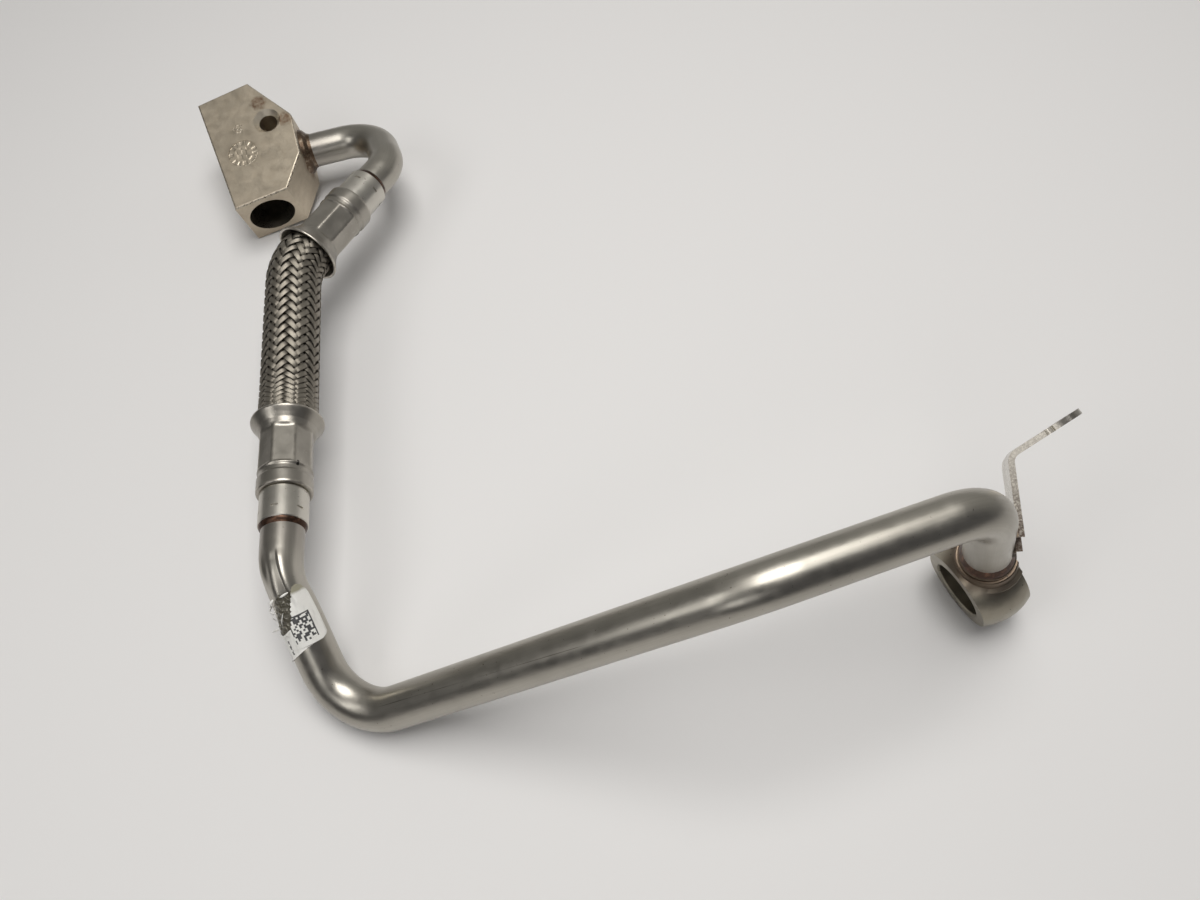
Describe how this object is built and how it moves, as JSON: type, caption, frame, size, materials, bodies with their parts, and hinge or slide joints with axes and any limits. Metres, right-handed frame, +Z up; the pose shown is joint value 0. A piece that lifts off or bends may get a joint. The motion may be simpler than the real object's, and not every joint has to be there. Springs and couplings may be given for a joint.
{
  "type": "turbo oil return pipe",
  "caption": "Bent steel oil drain pipe with a braided flexible section between crimped ends, an angular terminal block, a banjo eye and a small fixing bracket.",
  "frame": {"origin": "centre of the bounding box on the plane that the part rests on", "axes": "+Z up from the table; +X along the long leg in plan, toward the banjo eye; +Y from the long leg toward the terminal block"},
  "size_m": [0.3292, 0.3269, 0.0903],
  "materials": {
    "cast_block": "fine cast, bare, light rust spots",
    "copper_braze": "dark tarnished copper",
    "tube": "drawn tube, satin",
    "fitting": "turned, satin",
    "ferrule": "pressed, crimped, satin",
    "braid": "woven flat wire",
    "inner_hose": "matt",
    "sticker": "printed film, worn",
    "forged_eye": "forged, dull",
    "bracket": "sheet, satin",
    "bracket_braze": "dark scale"
  },
  "bodies": {
    "root": {"terminal_block": "cast_block", "block_braze": "copper_braze", "hook_pipe": "tube", "upper_tail_braze": "copper_braze", "upper_tail": "fitting", "upper_ferrule": "ferrule", "hose_braid": "braid", "hose_liner": "inner_hose", "lower_ferrule": "ferrule", "lower_tail": "fitting", "lower_tail_braze": "copper_braze", "main_pipe": "tube", "part_label": "sticker", "banjo_fitting": "forged_eye", "banjo_braze": "copper_braze", "pipe_bracket": "bracket", "bracket_braze": "bracket_braze"}
  },
  "joints": []
}
